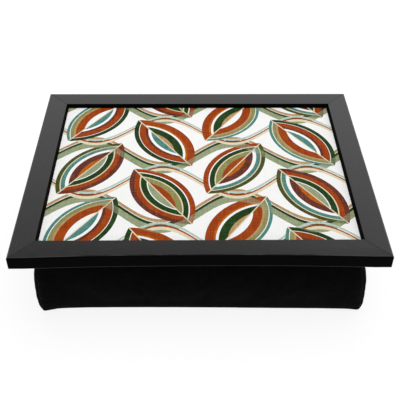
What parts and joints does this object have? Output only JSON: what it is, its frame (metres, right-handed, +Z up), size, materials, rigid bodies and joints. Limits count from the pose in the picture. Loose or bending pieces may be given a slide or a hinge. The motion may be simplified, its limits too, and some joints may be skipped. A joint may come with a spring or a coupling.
{
  "type": "cushioned lap tray",
  "caption": "Flat rectangular tray in a mitred black frame, with a printed board and a bean-filled black cushion fixed beneath it.",
  "frame": {"origin": "on the surface the tray stands on, under the middle of the frame", "axes": "+X to the right along the long side, -Y towards the front rail, +Z up"},
  "size_m": [0.44, 0.345, 0.114],
  "materials": {
    "frame_paint": "satin",
    "print_face": "satin",
    "cushion_cloth": "matte",
    "fibreboard": "matte",
    "hardboard": "matte",
    "fastener_steel": "satin",
    "hot_glue": "satin",
    "bead_filling": "matte"
  },
  "bodies": {
    "root": {"front_rail": "frame_paint", "front_cushion_panel": "cushion_cloth", "front_point_1": "fastener_steel", "front_point_2": "fastener_steel", "front_point_3": "fastener_steel", "front_staple_1": "fastener_steel", "front_staple_2": "fastener_steel", "front_staple_3": "fastener_steel", "front_staple_4": "fastener_steel", "right_rail": "frame_paint", "right_cushion_panel": "cushion_cloth", "right_point_1": "fastener_steel", "right_point_2": "fastener_steel", "right_staple_1": "fastener_steel", "right_staple_2": "fastener_steel", "right_staple_3": "fastener_steel", "back_rail": "frame_paint", "back_cushion_panel": "cushion_cloth", "back_point_1": "fastener_steel", "back_point_2": "fastener_steel", "back_point_3": "fastener_steel", "back_staple_1": "fastener_steel", "back_staple_2": "fastener_steel", "back_staple_3": "fastener_steel", "back_staple_4": "fastener_steel", "left_rail": "frame_paint", "left_cushion_panel": "cushion_cloth", "left_point_1": "fastener_steel", "left_point_2": "fastener_steel", "left_staple_1": "fastener_steel", "left_staple_2": "fastener_steel", "left_staple_3": "fastener_steel", "v_nail_front_right_1": "fastener_steel", "v_nail_front_right_2": "fastener_steel", "v_nail_right_back_1": "fastener_steel", "v_nail_right_back_2": "fastener_steel", "v_nail_back_left_1": "fastener_steel", "v_nail_back_left_2": "fastener_steel", "v_nail_left_front_1": "fastener_steel", "v_nail_left_front_2": "fastener_steel", "glue_bead_1": "hot_glue", "glue_bead_2": "hot_glue", "glue_bead_3": "hot_glue", "glue_bead_4": "hot_glue", "print_sheet": "print_face", "tray_board": "fibreboard", "cushion_board": "hardboard", "base_cushion_panel": "cushion_cloth", "bead_filling": "bead_filling"}
  },
  "joints": []
}
